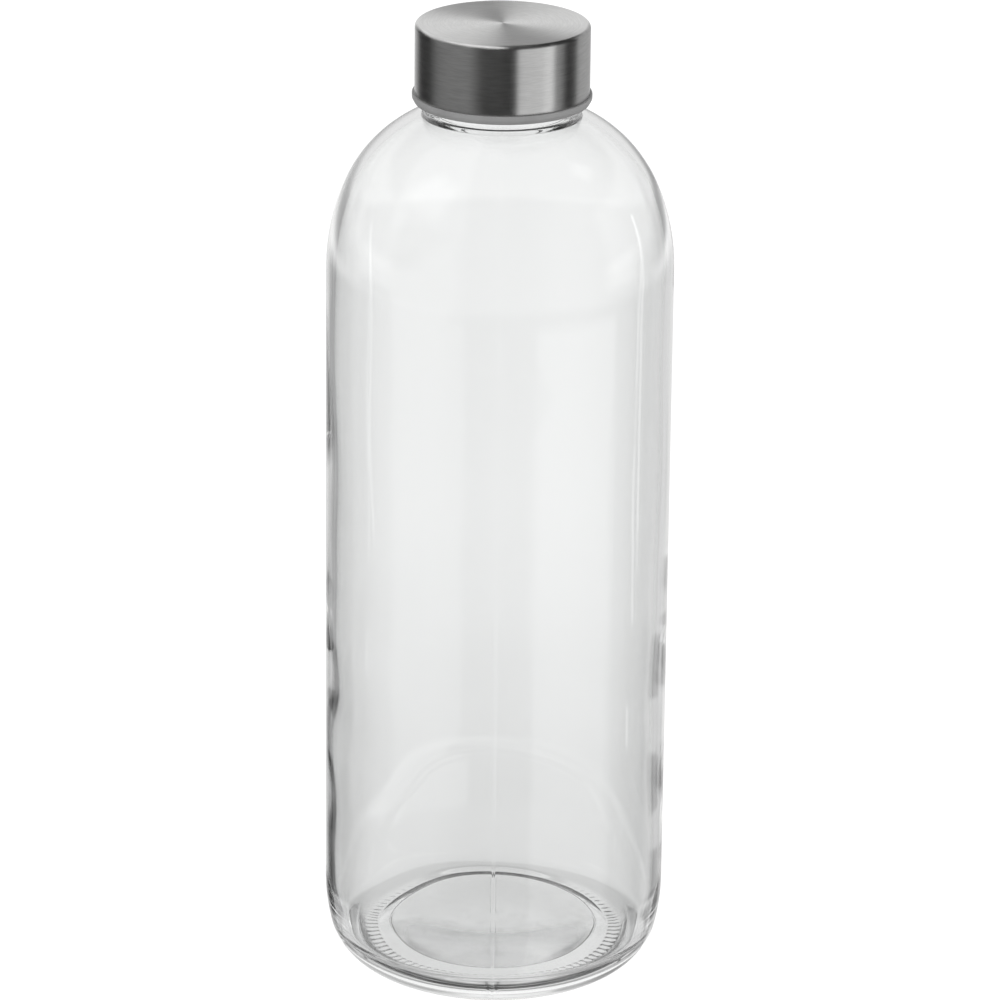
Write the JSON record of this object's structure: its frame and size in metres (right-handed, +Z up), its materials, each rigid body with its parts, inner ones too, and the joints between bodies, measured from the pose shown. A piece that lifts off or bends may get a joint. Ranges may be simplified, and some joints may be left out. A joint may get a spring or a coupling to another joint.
{
  "type": "glass water bottle",
  "caption": "Tall round clear-glass water bottle with a domed shoulder, a rounded heel, a pushed-up base and a brushed-steel screw cap on a grey threaded insert with a seal ring.",
  "frame": {"origin": "centre of the base, on the plane that the bottle stands on", "axes": "+Z up along the bottle's axis, -Y towards the front mould seam, +X to the right seen from the front"},
  "size_m": [0.086, 0.086, 0.2464],
  "materials": {
    "clear_glass": "clear, polished",
    "silicone": "matte, milky",
    "grey_plastic": "fine matte moulded",
    "brushed_steel": "brushed round the side, spun on the top"
  },
  "bodies": {
    "bottle": {"glass_bottle": "clear_glass"},
    "seal": {"seal_ring": "silicone"},
    "cap": {"cap_insert": "grey_plastic", "cap_shell": "brushed_steel"}
  },
  "joints": [
    {"name": "cap_lift", "type": "slide", "parent": "bottle", "child": "seal", "axis": [0, 0, 1], "range_m": [0, 0.02117]},
    {"name": "cap_turn", "type": "hinge", "parent": "seal", "child": "cap", "pos_m": [0, 0, 0.2377], "axis": [0, 0, 1], "range_deg": [0, 1800]}
  ],
  "couplings": [
    {"joint": "cap_lift", "follows": "cap_turn", "m_per_rad": 0.00067375}
  ]
}
